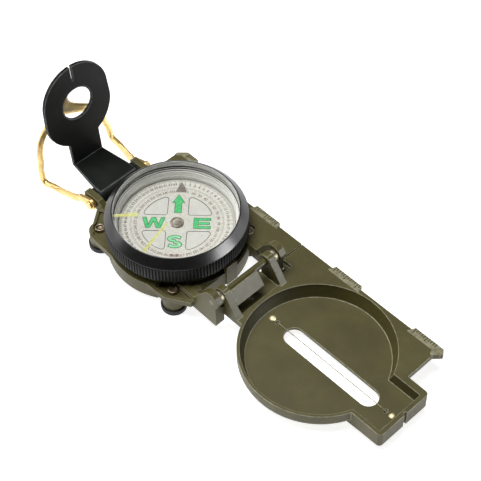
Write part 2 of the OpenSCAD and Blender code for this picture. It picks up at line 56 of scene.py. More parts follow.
NORTH = math.radians(134)  # where the card's arrow points, from +X towards +Y


def at(x, y, z):
    """A point in dial millimetres as a point of the model, in metres."""
    return DIAL + Vector((x, y, z)) * MM


# ---------------------------------------------------------------- materials
class Look:
    """A material with a few helpers for wiring its nodes. Patterns are sized in millimetres."""

    def __init__(self, name):
        self.material = bpy.data.materials.new(name)
        self.material.use_nodes = True
        self.tree = self.material.node_tree
        self.shader = self.tree.nodes["Principled BSDF"]
        coordinates = self.add("ShaderNodeTexCoord")
        scale = self.add("ShaderNodeMapping")
        scale.inputs["Scale"].default_value = (1 / MM,) * 3
        self.link(coordinates.outputs["Object"], scale.inputs["Vector"])
        self.millimetres = scale.outputs["Vector"]

    def add(self, kind, **settings):
        """A new node of the material."""
        node = self.tree.nodes.new(kind)
        for key, value in settings.items():
            setattr(node, key, value)
        return node

    def link(self, a, b):
        self.tree.links.new(a, b)

    def set(self, **values):
        """Sets the shader's own sockets."""
        for key, value in values.items():
            self.shader.inputs[key.replace("_", " ")].default_value = value
        return self

    def noise(self, per_mm, detail=3.0, stretch=None):
        """Soft noise with so many blobs to the millimetre."""
        node = self.add("ShaderNodeTexNoise")
        node.inputs["Scale"].default_value = per_mm
        node.inputs["Detail"].default_value = detail
        source = self.millimetres
        if stretch:
            mapping = self.add("ShaderNodeMapping")
            mapping.inputs["Scale"].default_value = stretch
            self.link(source, mapping.inputs["Vector"])
            source = mapping.outputs["Vector"]
        self.link(source, node.inputs["Vector"])
        return node.outputs["Fac"]

    def ramp(self, source, stops):
        """A colour that follows a value through (place, colour) stops."""
        node = self.add("ShaderNodeValToRGB")
        elements = node.color_ramp.elements
        while len(elements) < len(stops):
            elements.new(0.5)
        for element, (place, color) in zip(elements, stops):
            element.position = place
            element.color = (*color, 1)
        self.link(source, node.inputs["Fac"])
        return node.outputs["Color"]

    def mix(self, factor, a, b, blend="MIX"):
        """Blends two colours. Each input is a socket, a colour or a number."""
        node = self.add("ShaderNodeMix", data_type="RGBA", blend_type=blend)
        for value, socket in ((factor, node.inputs[0]), (a, node.inputs[6]), (b, node.inputs[7])):
            if hasattr(value, "is_linked"):
                self.link(value, socket)
            elif isinstance(value, tuple):
                socket.default_value = (*value, 1)
            else:
                socket.default_value = value
        return node.outputs[2]

    def color(self, source):
        """Gives the shader its colour."""
        self.link(source, self.shader.inputs["Base Color"])
        return self

    def roughness(self, source, low, high):
        """Spreads the shader's roughness from low to high."""
        node = self.add("ShaderNodeMapRange")
        node.inputs["To Min"].default_value = low
        node.inputs["To Max"].default_value = high
        self.link(source, node.inputs["Value"])
        self.link(node.outputs["Result"], self.shader.inputs["Roughness"])
        return self

    def bump(self, source, height_mm):
        """Raises the surface by a height where the value is 1."""
        node = self.add("ShaderNodeBump")
        node.inputs["Distance"].default_value = height_mm * MM
        node.inputs["Strength"].default_value = 1.0
        self.link(source, node.inputs["Height"])
        self.link(node.outputs["Normal"], self.shader.inputs["Normal"])
        return self


def enamel(name, tones, rough, spec=0.5, grain=0.02, wear_and_highlight=None):
    """Sprayed enamel: slow cloudy patches, fine speckle and an orange-peel surface.

    An edge's enamel is mixed, in places, with a lighter tone: partly real rubbed-through wear, partly a
    painted highlight of the light that rounded edges catch.
    """
    look = Look(name)
    clouds = look.ramp(look.noise(0.09, 4), tuple(zip((0.3, 0.52, 0.75), tones)))
    speckle = look.ramp(look.noise(3.2, 2), ((0.35, (0.86,) * 3), (0.65, (1.1, 1.1, 1.08))))
    paint = look.mix(1.0, clouds, speckle, "MULTIPLY")
    if wear_and_highlight:
        # Painted highlight and real wear: noise decides where the lighter edge tone shows
        wear_and_highlight_mask = look.ramp(look.noise(0.7, 4), ((0.3, (0.3,) * 3), (0.6, (1.0,) * 3)))
        paint = look.mix(wear_and_highlight_mask, paint, wear_and_highlight)
    look.color(paint)
    look.roughness(look.noise(0.6, 3), rough - 0.06, rough + 0.08)
    look.bump(look.noise(2.4, 3), grain)
    look.set(Specular_IOR_Level=spec)
    return look.material


def metal(name, dark, light, rough, stretch=None, scale=0.8, grain=0.01):
    """Bare metal: streaks of tone, uneven polish and a fine grain."""
    look = Look(name)
    streaks = look.noise(scale, 4, stretch)
    look.color(look.ramp(streaks, ((0.3, dark), (0.7, light))))
    look.roughness(look.noise(1.5, 3), rough - 0.07, rough + 0.1)
    look.bump(look.noise(2.0, 3), grain)
    look.set(Metallic=1.0)
    return look.material


def plastic(name, dark, light, rough, spec=0.5, scale=0.4, grain=0.006):
    """Plastic, rubber, paint or ink: soft clouds of tone, uneven gloss and a fine grain."""
    look = Look(name)
    look.color(look.ramp(look.noise(scale, 4), ((0.3, dark), (0.7, light))))
    look.roughness(look.noise(1.2, 3), rough - 0.05, rough + 0.07)
    look.bump(look.noise(3.0, 2), grain)
    look.set(Specular_IOR_Level=spec)
    return look.material


GRAZING_POWER = 5.0
GRAZING_SHEEN = 0.7


def clear(name, haze, head_on):
    """Thin clear pane: see-through, with a sheen that grows from head_on towards a grazing look."""
    look = Look(name)
    nodes = look.tree.nodes
    nodes.remove(look.shader)
    through = look.add("ShaderNodeBsdfTransparent")
    tint = look.ramp(look.noise(0.05, 2), ((0.3, (0.985, 0.985, 0.98)), (0.7, (0.995, 0.995, 0.99))))
    look.link(tint, through.inputs["Color"])
    gloss = look.add("ShaderNodeBsdfGlossy")
    gloss.inputs["Roughness"].default_value = haze
    turned = look.add("ShaderNodeLayerWeight")
    turned.inputs["Blend"].default_value = 0.5
    grazing = look.add("ShaderNodeMath", operation="POWER")
    grazing.inputs[1].default_value = GRAZING_POWER
    look.link(turned.outputs["Facing"], grazing.inputs[0])
    sheen = look.add("ShaderNodeMapRange")
    sheen.inputs["To Min"].default_value = head_on
    sheen.inputs["To Max"].default_value = GRAZING_SHEEN
    look.link(grazing.outputs["Value"], sheen.inputs["Value"])
    blend = look.add("ShaderNodeMixShader")
    look.link(sheen.outputs["Result"], blend.inputs["Fac"])
    look.link(through.outputs["BSDF"], blend.inputs[1])
    look.link(gloss.outputs["BSDF"], blend.inputs[2])
    look.link(blend.outputs["Shader"], nodes["Material Output"].inputs["Surface"])
    return look.material


def lens_glass(name, tints):
    """Polished optical glass, with a faint drift of tint."""
    look = Look(name)
    look.color(look.ramp(look.noise(0.05, 2), tuple(zip((0.3, 0.7), tints))))
    look.set(Transmission_Weight=1.0, Roughness=0.0, IOR=1.45)
    return look.material


def studio_floor(name, tones, glow):
    """Pale matt floor that glows a little, so that it stays white all round the object."""
    look = Look(name)
    look.color(look.ramp(look.noise(0.002, 2), tuple(zip((0.3, 0.7), tones))))
    look.set(Roughness=0.9, Specular_IOR_Level=0.1, Emission_Color=(1, 1, 1, 1), Emission_Strength=glow)
    return look.material


OLIVE_TONES = ((0.065, 0.056, 0.015), (0.079, 0.069, 0.0185), (0.095, 0.085, 0.026))
OLIVE = enamel("olive_enamel", OLIVE_TONES, 0.45, 0.36)
# Edge look of the olive castings: worn paint, with its tone made light enough to be a painted highlight along
# rounded edges
OLIVE_WORN_EDGE_HIGHLIGHT = enamel("olive_worn_edge_highlight", OLIVE_TONES, 0.5, 0.4, wear_and_highlight=(0.27, 0.255, 0.16))
BLACK_TONES = ((0.0048, 0.0062, 0.0052), (0.0075, 0.0092, 0.008), (0.0125, 0.0148, 0.0128))
BLACK = enamel("black_enamel", BLACK_TONES, 0.45, 0.14)
# Edge look of the black bracket: worn paint, lightened as a painted highlight of the light its edges catch
BLACK_WORN_EDGE_HIGHLIGHT = enamel("black_worn_edge_highlight", BLACK_TONES, 0.5, 0.2, wear_and_highlight=(0.11, 0.115, 0.11))
BEZEL_GRIP = plastic("bezel_grip", (0.0025, 0.0025, 0.0025), (0.006, 0.006, 0.006), 0.5, 0.25)
BEZEL = plastic("bezel_plastic", (0.004, 0.004, 0.0038), (0.008, 0.008, 0.0078), 0.3, 0.62, grain=0.002)
# Painted highlight: pale ring that shows the light line along the inside of the bezel's lip
LIP_HIGHLIGHT_PAINT = plastic("lip_highlight_paint", (0.58, 0.58, 0.56), (0.72, 0.72, 0.69), 0.35)
BRASS = metal("polished_brass", (0.74, 0.5, 0.18), (0.9, 0.7, 0.34), 0.4, (0.25, 1, 1), grain=0.03)
PALE_BRASS = metal("pale_brass", (0.78, 0.68, 0.38), (0.95, 0.88, 0.6), 0.55)
WIRE = metal("dull_wire", (0.2, 0.19, 0.12), (0.36, 0.34, 0.23), 0.45)
STEEL = metal("bright_steel", (0.45, 0.42, 0.38), (0.72, 0.69, 0.64), 0.3)
PIN = metal("dull_pin", (0.16, 0.14, 0.1), (0.3, 0.27, 0.2), 0.45)
SCREW = metal("dull_screw", (0.13, 0.09, 0.05), (0.42, 0.35, 0.25), 0.4)
RUBBER = plastic("rubber", (0.005, 0.005, 0.005), (0.015, 0.015, 0.014), 0.6, 0.4, 1.2, 0.03)
WHITE = plastic("capsule_white", (0.88, 0.88, 0.86), (0.95, 0.95, 0.92), 0.3)
CARD = plastic("card_face", (0.62, 0.61, 0.565), (0.73, 0.72, 0.675), 0.5, 0.4, 0.9)
CARD_OPEN = plastic("card_windows", (0.65, 0.65, 0.615), (0.72, 0.72, 0.685), 0.4, 0.4, 0.3)
GREEN = plastic("green_ink", (0.06, 0.5, 0.17), (0.15, 0.66, 0.27), 0.5, 0.3, 1.0)
GREEN_PALE = plastic("pale_green_ink", (0.26, 0.68, 0.38), (0.4, 0.82, 0.5), 0.5, 0.3, 1.0)
GREEN_DARK = plastic("green_outline", (0.03, 0.2, 0.07), (0.07, 0.32, 0.13), 0.5, 0.3, 1.0)
INK = plastic("grey_ink", (0.1, 0.1, 0.09), (0.2, 0.195, 0.18), 0.55, 0.3, 1.5)
POINTER = plastic("pointer_ink", (0.17, 0.15, 0.135), (0.3, 0.27, 0.24), 0.55, 0.3, 0.8)
INK_WARM = plastic("warm_ink", (0.2, 0.14, 0.12), (0.3, 0.22, 0.19), 0.55, 0.3, 1.5)
LUMINOUS = plastic("luminous_paint", (0.52, 0.52, 0.15), (0.66, 0.67, 0.3), 0.5, 0.3, 0.6)
MAGNET = metal("magnet", (0.16, 0.16, 0.17), (0.28, 0.28, 0.3), 0.45)
JEWEL = plastic("jewel_face", (0.1, 0.08, 0.06), (0.6, 0.55, 0.47), 0.3, 0.5, 0.45, 0.05)
JEWEL_RIM = plastic("jewel_rim", (0.14, 0.11, 0.085), (0.5, 0.45, 0.38), 0.35, 0.5, 0.6, 0.04)
GLASS = clear("clear_pane", 0.02, 0.006)
LENS = lens_glass("lens_glass", ((0.96, 0.98, 0.97), (0.99, 1.0, 0.99)))
FLOOR_WHITE = studio_floor("studio_white", ((0.6, 0.6, 0.6), (0.62, 0.62, 0.62)), 0.87)

# The CAD nodes that show as they are
NODE_LOOKS = {
    "bottom_cover": OLIVE, "cover_screws": STEEL, "capsule_gasket": WHITE, "capsule_window": GLASS,
    "pivot_post": BRASS, "bezel_spring": STEEL, "lid_hinge_pin": PIN, "hinge_sleeve": OLIVE,
    "bezel_glass": GLASS, "glass_retainer": WHITE, "compass_card": CARD, "card_magnet": MAGNET,
    "sighting_wire": WIRE, "magnifier_lens": LENS, "lens_ring": BLACK,
}
for node, material in NODE_LOOKS.items():
    for mesh_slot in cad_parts[node].material_slots:
        mesh_slot.material = material


# ---------------------------------------------------------------- mesh helpers
SMOOTH_DEG = 32  # edges that turn further than this stay sharp


def finish_piece(name, mesh, body, materials, nodes=(), smooth_deg=SMOOTH_DEG):
    """Makes a mesh a piece that rides a body and stands for the CAD nodes named."""
    if tuple(mesh.materials) != tuple(materials):
        mesh.materials.clear()
        for material in materials:
            mesh.materials.append(material)
    if smooth_deg:
        mesh.shade_smooth()
        mesh.set_sharp_from_angle(angle=math.radians(smooth_deg))
    piece = bpy.data.objects.new(name, mesh)
    bpy.context.scene.collection.objects.link(piece)
    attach(piece, body)
    if nodes:
        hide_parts(*nodes)
    return piece


def mesh_of(name, points, faces):
    """A mesh from points and faces."""
    mesh = bpy.data.meshes.new(name)
    mesh.from_pydata([tuple(p) for p in points], [], faces)
    mesh.update()
    return mesh


def add_piece(name, data, body, look, nodes=()):
    """A piece of one look, from its points and faces."""
    return finish_piece(name, mesh_of(name, *data), body, (look,), nodes)


def lathe_data(profile, turns, center=(0, 0), wave=None):
    """Points and faces of a closed profile of (radius, height), turned round an upright axis.

    wave(angle, radius) may change the radius.
    """
    points, faces = [], []
    count = len(profile)
    for i in range(turns):
        angle = 2 * math.pi * i / turns
        for radius, height in profile:
            r = wave(angle, radius) if wave else radius
            points.append(at(center[0] + r * math.cos(angle), center[1] + r * math.sin(angle), height))
        for j in range(count):
            k, n = (j + 1) % count, (i + 1) % turns
            faces.append((i * count + j, n * count + j, n * count + k, i * count + k))
    return points, faces


def prism_faces(count):
    """Faces of a closed prism whose first outline of points comes before its second one."""
    faces = [tuple(range(count)), tuple(range(2 * count - 1, count - 1, -1))]
    return faces + [(i, i + count, (i + 1) % count + count, (i + 1) % count) for i in range(count)]


def join_data(parts):
    """The points and faces of several parts as one."""
    points, faces = [], []
    for p, f in parts:
        shift = len(points)
        points += p
        faces += [tuple(i + shift for i in face) for face in f]
    return points, faces


MAX_CUT = 0.45  # of a side, so that the rounded corners at its two ends stay apart


def rounded(corners, radius, steps=4):
    """Rounds each corner of a closed (radius, height) profile."""
    out = []
    count = len(corners)
    for i, corner in enumerate(corners):
        p = Vector(corner)
        a, b = Vector(corners[i - 1]) - p, Vector(corners[(i + 1) % count]) - p
        cut = min(radius, a.length * MAX_CUT, b.length * MAX_CUT)
        start, end = p + a.normalized() * cut, p + b.normalized() * cut
        for s in range(steps + 1):
            t = s / steps
            out.append(tuple(start * (1 - t) ** 2 + p * 2 * t * (1 - t) + end * t ** 2))
    return out


WELD = 0.004 * MM
FLAT_ANGLE = math.radians(0.6)
BEVEL_ANGLE = math.radians(28)


def clean(mesh):
    """Welds a CAD mesh and merges its flat triangles, so that bevels run evenly."""
    work = bmesh.new()
    work.from_mesh(mesh)
    bmesh.ops.remove_doubles(work, verts=work.verts, dist=WELD)
    bmesh.ops.dissolve_limit(work, angle_limit=FLAT_ANGLE, verts=work.verts, edges=work.edges)
    for face in work.faces:
        face.material_index = 0
    work.to_mesh(mesh)
    work.free()


def baked(piece):
    """The piece's mesh with its modifiers applied."""
    graph = bpy.context.evaluated_depsgraph_get()
    mesh = bpy.data.meshes.new_from_object(piece.evaluated_get(graph))
    bpy.data.objects.remove(piece)
    return mesh


def bevelled(node, body, look, width_mm, edge_look=None):
    """Stands a copy of a CAD node, with rounded edges in a look of their own, in the node's place."""
    looks = (look, edge_look or look)
    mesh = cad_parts[node].data.copy()
    mesh.materials.clear()
    for each in looks:
        mesh.materials.append(each)
    clean(mesh)
    mesh.shade_smooth()
    rough = bpy.data.objects.new(node + "_rough", mesh)
    bpy.context.scene.collection.objects.link(rough)
    bevel = rough.modifiers.new("round", "BEVEL")
    bevel.width = width_mm * MM
    bevel.segments = 2
    bevel.limit_method = "ANGLE"
    bevel.angle_limit = BEVEL_ANGLE
    bevel.miter_outer = "MITER_ARC"
    bevel.use_clamp_overlap = False
    bevel.material = 1
    even = rough.modifiers.new("even", "WEIGHTED_NORMAL")
    even.mode = "FACE_AREA"
    even.weight = 90
    result = baked(rough)
    result.name = node + "_body"
    ruler_wear_and_highlight(result)
    return finish_piece(node + "_body", result, body, looks, (node,), None)


# ---------------------------------------------------------------- ruler tabs along the straight edge
TAB_TOP = 0.25
TAB_INNER, TAB_OUTER = 25.6, 28.25
# Where each tab's ticks start and end
BASE_TABS = ((-24.2, -20.4), (11.4, 22.2))
LID_TABS = ((50.0, 61.4), (86.2, 96.0))
LONG_EVERY = 5  # ticks, here and on the dial
TICK_WIDTH = 0.3
TICK_LOW, TICK_HIGH = TAB_TOP - 0.05, TAB_TOP + 0.12
SHORT_TICK, LONG_TICK = 1.3, 2.2


def ruler_wear_and_highlight(mesh):
    """Gives the tops of the ruler tabs the edge look: worn paint, lightened as a painted highlight."""
    for face in mesh.polygons:
        middle = (face.center - DIAL) / MM
        faces_up = face.normal.z > 0.9
        if faces_up and abs(middle.z - TAB_TOP) < 0.1 and middle.y > TAB_INNER:
            face.material_index = 1


def block(x0, x1, y0, y1, z0, z1):
    """Points and faces of a box in dial millimetres."""
    points = [at(x, y, z) for z in (z0, z1) for x, y in ((x0, y0), (x1, y0), (x1, y1), (x0, y1))]
    faces = [(3, 2, 1, 0), (4, 5, 6, 7), (0, 1, 5, 4), (1, 2, 6, 5), (2, 3, 7, 6), (3, 0, 4, 7)]
    return points, faces


def ruler_ticks(name, body, tabs):
    """Raised millimetre ticks along each tab's outer edge."""
    ticks = []
    for start, end in tabs:
        for step in range(int(end - start) + 1):
            x = start + step
            inner = TAB_OUTER - (LONG_TICK if step % LONG_EVERY == 0 else SHORT_TICK)
            ticks.append(block(x, x + TICK_WIDTH, inner, TAB_OUTER, TICK_LOW, TICK_HIGH))
    add_piece(name, join_data(ticks), body, OLIVE)


# ---------------------------------------------------------------- olive castings and black bracket
# Rounded edges take the edge looks: worn paint, lightened as painted highlights
bevelled("base_frame", "base", OLIVE, 0.1, OLIVE_WORN_EDGE_HIGHLIGHT)
bevelled("lid_cover", "lid", OLIVE, 0.22, OLIVE_WORN_EDGE_HIGHLIGHT)
bevelled("eyepiece_bracket", "eyepiece", BLACK, 0.22, BLACK_WORN_EDGE_HIGHLIGHT)
bevelled("foot_pads", "base", RUBBER, 0.25)
bevelled("hinge_washers", "base", PIN, 0.15)
bevelled("rear_hinge_pin", "base", BRASS, 0.2)
ruler_ticks("base_ruler_ticks", "base", BASE_TABS)
ruler_ticks("lid_ruler_ticks", "lid", LID_TABS)

# ---------------------------------------------------------------- foot screws: round heads with a deep socket
screw_profile = rounded(
    [
        (0, -8.4), (1.0, -8.4), (1.0, -1.15), (1.95, -1.15), (1.95, -0.5),
        (1.6, -0.05), (1.15, -0.1), (1.0, -0.75), (0, -0.75),
    ],
    0.22,
)
screws = join_data([lathe_data(screw_profile, 48, foot) for foot in FEET])
add_piece("foot_screw_heads", screws, "base", SCREW, ("foot_screws",))

# ---------------------------------------------------------------- turning bezel
RIBS = 136
RIB_SAMPLES = 10
RIB_DEPTH = 0.5
RIB_CREST, RIB_FLANK = 0.36, 0.3  # shares of half a rib's pitch
GRIP_INNER_R = 24.6


def ribbed(angle, radius):
    """Pulls the outer wall in between the ribs."""
    if radius < GRIP_INNER_R:
        return radius
    along = (angle * RIBS / (2 * math.pi)) % 1.0
    valley = min(1.0, max(0.0, (abs(along - 0.5) * 2 - RIB_CREST) / RIB_FLANK))
    return radius - RIB_DEPTH * valley


rib_profile = [
    (23.2, 3.3), (24.7, 3.3), (24.95, 3.4), (25.12, 3.6), (25.2, 3.9), (25.2, 6.4),
    (25.2, 9.0), (25.12, 9.35), (24.95, 9.55), (24.7, 9.62), (23.2, 9.62),
]
bezel_profile = rounded(
    [
        (22.86, 3.22), (24.6, 3.22), (24.6, 9.5), (25.04, 9.62), (25.02, 9.85), (22.42, 12.86),
        (22.18, 12.99), (22.02, 12.93), (22.02, 10.6), (22.56, 10.6), (22.56, 9.22), (22.86, 9.22),
    ],
    0.3,
)
grip = lathe_data(rib_profile, RIBS * RIB_SAMPLES, wave=ribbed)
add_piece("bezel_grip", grip, "bezel", BEZEL_GRIP, ("bezel_ring",))
add_piece("bezel_cone", lathe_data(bezel_profile, 240), "bezel", BEZEL)

# Pale ring on the inside of the bezel's lip, against the glass: its pale colour is a painted highlight, the
# light line that the lip's inner edge catches
lip_highlight_profile = rounded([(21.84, 10.62), (22.01, 10.62), (22.01, 12.7), (21.93, 12.78), (21.84, 12.7)], 0.05)
add_piece("lip_highlight_paint", lathe_data(lip_highlight_profile, 200), "bezel", LIP_HIGHLIGHT_PAINT)

# ---------------------------------------------------------------- white capsule with its stepped wall
capsule_profile = rounded(
    [
        (0, 0.98), (21.68, 0.98), (21.68, 9.08), (21.36, 9.08), (21.36, 8.02),
        (20.96, 8.02), (20.96, 7.5), (20.82, 7.4), (20.82, 6.7), (20.62, 6.5),
        (20.62, 4.4), (20.4, 4.2), (20.4, 3.0), (19.4, 2.02), (0, 2.02),
    ],
    0.14, 3,
)
add_piece("capsule_wall", lathe_data(capsule_profile, 200), "base", WHITE, ("capsule_bowl",))

# ---------------------------------------------------------------- jewel cap, hollow over the pivot's point
JEWEL_SEAT = CARD_TOP + 0.06
jewel_rim = rounded(
    [
        (1.62, CARD_TOP + 0.05), (2.38, CARD_TOP + 0.05), (2.38, CARD_TOP + 0.5),
        (2.05, CARD_TOP + 0.8), (1.62, CARD_TOP + 0.75),
    ],
    0.15,
)
jewel_dome = rounded(
    [
        (0, 5.65), (0.6, 5.65), (0.6, 4.7), (1.1, 4.7), (1.1, JEWEL_SEAT), (1.66, JEWEL_SEAT),
        (1.62, CARD_TOP + 0.62), (0.9, CARD_TOP + 1.1), (0, CARD_TOP + 1.18),
    ],
    0.2,
)
add_piece("jewel_dome", lathe_data(jewel_dome, 64), "card", JEWEL, ("jewel_cap",))
add_piece("jewel_rim", lathe_data(jewel_rim, 64), "card", JEWEL_RIM)


# ---------------------------------------------------------------- dial artwork
INK_THICKNESS = 0.006
# Layers of print, measured from the card's face: the sunk window panes, the lowest ink of the ticks
# and of the letters' dark outlines, then lines and figures, the pointer, and the letters on top
PANE_LIFT, LOW_LIFT, LINE_LIFT, POINTER_LIFT, LETTER_LIFT = -0.06, 0.012, 0.014, 0.022, 0.03


def on_card(east, north, lift):
    """A point on the card: east and north in millimetres from its centre."""
    x = north * math.cos(NORTH) + east * math.sin(NORTH)
    y = north * math.sin(NORTH) - east * math.cos(NORTH)
    return at(x, y, CARD_TOP + lift)


def print_shapes(name, outlines, lift, material, grow=0.0):
    """Filled outlines printed on the card. Each outline is a list of (east, north) points."""
    curve = bpy.data.curves.new(name, "CURVE")
    curve.dimensions = "2D"
    curve.fill_mode = "BOTH"
    curve.extrude = INK_THICKNESS
    curve.offset = grow
    for outline in outlines:
        spline = curve.splines.new("POLY")
        spline.points.add(len(outline) - 1)
        for point, (east, north) in zip(spline.points, outline):
            point.co = (east, north, 0, 1)
        spline.use_cyclic_u = True
    flat = bpy.data.objects.new(name + "_flat", curve)
    bpy.context.scene.collection.objects.link(flat)
    mesh = baked(flat)
    for vertex in mesh.vertices:
        vertex.co = on_card(vertex.co.x, vertex.co.y, lift + vertex.co.z)
    mesh.flip_normals()
    return finish_piece(name, mesh, "card", (material,))


def shifted(outline, east, north):
    """The outline moved over the card."""
    return [(e + east, n + north) for e, n in outline]


def ribbon(path, width):
    """A closed outline of even width along a path."""
    left, right = [], []
    for i, p in enumerate(path):
        a, b = Vector(path[max(i - 1, 0)]), Vector(path[min(i + 1, len(path) - 1)])
        side = (b - a).normalized()
        side = Vector((-side.y, side.x)) * width / 2
        left.append(tuple(Vector(p) + side))
        right.append(tuple(Vector(p) - side))
    return left + right[::-1]


LETTER_W = [
    (-4.05, 2.45), (-2.55, 2.45), (-1.8, -0.55), (-0.75, 2.45), (0.75, 2.45), (1.8, -0.55), (2.55, 2.45),
    (4.05, 2.45), (2.6, -2.45), (1.05, -2.45), (0, 0.5), (-1.05, -2.45), (-2.6, -2.45),
]
LETTER_E = [
    (-3.0, 2.45), (3.0, 2.45), (3.0, 1.25), (-1.3, 1.25), (-1.3, 0.6), (2.6, 0.6), (2.6, -0.6),
    (-1.3, -0.6), (-1.3, -1.25), (3.0, -1.25), (3.0, -2.45), (-3.0, -2.45),
]
ARROW = [
    (-1.25, 4.6), (-1.25, 9.3), (-2.25, 9.3), (0, 13.2), (2.25, 9.3), (1.25, 9.3), (1.25, 4.6),
]
# The S is a ribbon along two bows, each part of an ellipse
upper_bow = []
for degrees in range(15, 271, 18):
    bow_turn = math.radians(degrees)
    upper_bow.append((1.95 * math.cos(bow_turn), 1.25 + 0.95 * math.sin(bow_turn)))
lower_bow = [(-e, -n) for e, n in reversed(upper_bow)]
LETTER_S = ribbon([(2.1, 1.6)] + upper_bow[1:] + lower_bow[:-1] + [(-2.1, -1.6)], 1.4)
SOLID_LETTERS = [shifted(LETTER_W, -8.24, 0), shifted(LETTER_E, 8.76, 0), ARROW]
PALE_LETTER = [shifted(LETTER_S, -0.3, -8.4)]
NORTH_POINTER = [
    (-1.4, 14.3), (-1.0, 14.2), (2.2, 14.2), (2.6, 14.9), (1.5, 17.4), (0.6, 19.1), (-0.3, 17.4),
]
print_shapes("dial_letter_outlines", SOLID_LETTERS + PALE_LETTER, LOW_LIFT, GREEN_DARK, 0.06)
print_shapes("dial_letters", SOLID_LETTERS, LETTER_LIFT, GREEN, -0.18)
print_shapes("dial_letter_s", PALE_LETTER, LETTER_LIFT, GREEN_PALE, -0.24)
print_shapes("north_pointer", [NORTH_POINTER], POINTER_LIFT, POINTER)

# The card's four openings: half an arm's width, the outer radius and the corners' radius
ARM, RIM, SOFT = 3.75, 12.7, 0.9
inner = ARM + SOFT
reach = math.sqrt((RIM - SOFT) ** 2 - inner ** 2)
lean = math.atan2(reach, inner)


def arc(center, radius, start, end, steps):
    """Points along an arc, from one angle to another."""
    points = []
    for i in range(steps + 1):
        turn = start + (end - start) * i / steps
        points.append((center[0] + radius * math.cos(turn), center[1] + radius * math.sin(turn)))
    return points


def window(grow):
    """One rounded opening between two arms of the card, grown outwards by a margin."""
    soft, rim = SOFT + grow, RIM + grow
    return (
        arc((inner, inner), soft, math.pi, 1.5 * math.pi, 5)
        + arc((reach, inner), soft, -0.5 * math.pi, math.pi / 2 - lean, 5)
        + arc((0, 0), rim, math.pi / 2 - lean, lean, 16)
        + arc((inner, reach), soft, lean, math.pi, 5)
    )


def quarter(outline, turns):
    """The outline after some quarter turns about the card's centre."""
    for _ in range(turns):
        outline = [(-n, e) for e, n in outline]
    return outline


WINDOW_LINE = 0.24
WINDOW_GAP = 0.03
window_edges = [quarter(window(edge), q) for q in range(4) for edge in (WINDOW_LINE, 0.0)]
window_panes = [quarter(window(-WINDOW_GAP), q) for q in range(4)]
print_shapes("card_window_lines", window_edges, LINE_LIFT, INK)
print_shapes("card_window_panes", window_panes, PANE_LIFT, CARD_OPEN)


DIAL_TICK_WIDTH = 0.13


def tick_ring(name, count, outside, short, long):
    """Radial ticks that hang inwards from a circle."""
    ticks = []
    for i in range(count):
        turn = 2 * math.pi * i / count
        inside = outside - (long if i % LONG_EVERY == 0 else short)
        e, n = math.sin(turn), math.cos(turn)
        ticks.append(ribbon([(e * outside, n * outside), (e * inside, n * inside)], DIAL_TICK_WIDTH))
    print_shapes(name, ticks, LOW_LIFT, INK)


tick_ring("mil_ticks", 320, 20.05, 0.65, 1.2)
tick_ring("degree_ticks", 180, 16.5, 0.55, 0.9)
SOUTH_BAR = [(0, -15.1), (1, -15.1), (1, -13.9), (0, -13.9)]
print_shapes("south_mark", [shifted(SOUTH_BAR, east, 0) for east in (-1.5, 0.4)], LINE_LIFT, INK_WARM)


FIGURE_HEIGHT = 1.05
SIZE_PER_HEIGHT = 1.4  # of the built-in font


def number_ring(name, count, step, radius, material):
    """Numbers round the card, each standing with its foot towards the centre."""
    points, faces = [], []
    for i in range(count):
        label = bpy.data.curves.new(name + "_text", "FONT")
        label.body = str(i * step)
        label.size = FIGURE_HEIGHT * SIZE_PER_HEIGHT
        label.align_x = "CENTER"
        label.offset = 0.03
        label.resolution_u = 2
        flat = bpy.data.objects.new(name + "_text", label)
        bpy.context.scene.collection.objects.link(flat)
        mesh = baked(flat)
        turn = -2 * math.pi * i / count
        spin = Matrix.Rotation(turn, 2)
        shift = len(points)
        for vertex in mesh.vertices:
            p = spin @ Vector((vertex.co.x, vertex.co.y + radius))
            points.append(on_card(p.x, p.y, LINE_LIFT))
        faces += [tuple(v + shift for v in reversed(face.vertices)) for face in mesh.polygons]
        bpy.data.meshes.remove(mesh)
    add_piece(name, (points, faces), "card", material)


number_ring("degree_numbers", 36, 10, 14.1, INK_WARM)
number_ring("mil_numbers", 64, 1, 17.5, INK)


# ---------------------------------------------------------------- luminous lines on the bezel's glass
def glass_mark(name, bearing_deg, outline, node):
    """A thin painted shape on the turning glass. The outline runs outwards from the dial's axis."""
    turn = Matrix.Rotation(math.radians(bearing_deg), 2)
    top = [at(*(turn @ Vector(p)), MARK_TOP) for p in outline]
    under = [at(*(turn @ Vector(p)), MARK_UNDER) for p in outline]
    data = (top + under, prism_faces(len(outline)))
    paint = add_piece(name, data, "bezel", LUMINOUS, (node,))
    paint.visible_shadow = False


LONG_LINE = [(5.7, -0.42), (21.7, -0.52), (21.7, 0.52), (5.7, 0.42)]
SHORT_LINE = [(13.3, -0.95), (21.7, -0.5), (21.7, 0.5), (13.3, 0.95)]
glass_mark("long_line_paint", -75.5, LONG_LINE, "long_luminous_line")
glass_mark("short_line_paint", -130.5, SHORT_LINE, "short_luminous_line")

# ---------------------------------------------------------------- brass thumb loop
# Measured from the rear hinge: -X is away from the dial, and the loop stands up along +Z
LOOP_ARM, LOOP_HALF, ARCH_H, WIRE_R = 24.1, 16.15, 23.0, 1.18
LOOP_DROOP = math.radians(11)
BEND_R, SHOULDER, ARCH_SIDE = 2.0, 14.9, 8.8
BEND_SPREAD = 0.2
# The wire is pressed along its arms: shares by which it gets thinner and wider, and where along X
# the pressing starts, where it is thinnest and widest, and where the width ends before the eye
THINNER, WIDER = 0.36, 0.75
PRESS_START, THIN_FROM, WIDE_FROM = -18, -15, -14
WIDE_UNTIL, WIDTH_END = -8.5, -6
EYE_R, EYE_IN, EYE_OUT = 2.2, 12.25, 13.55


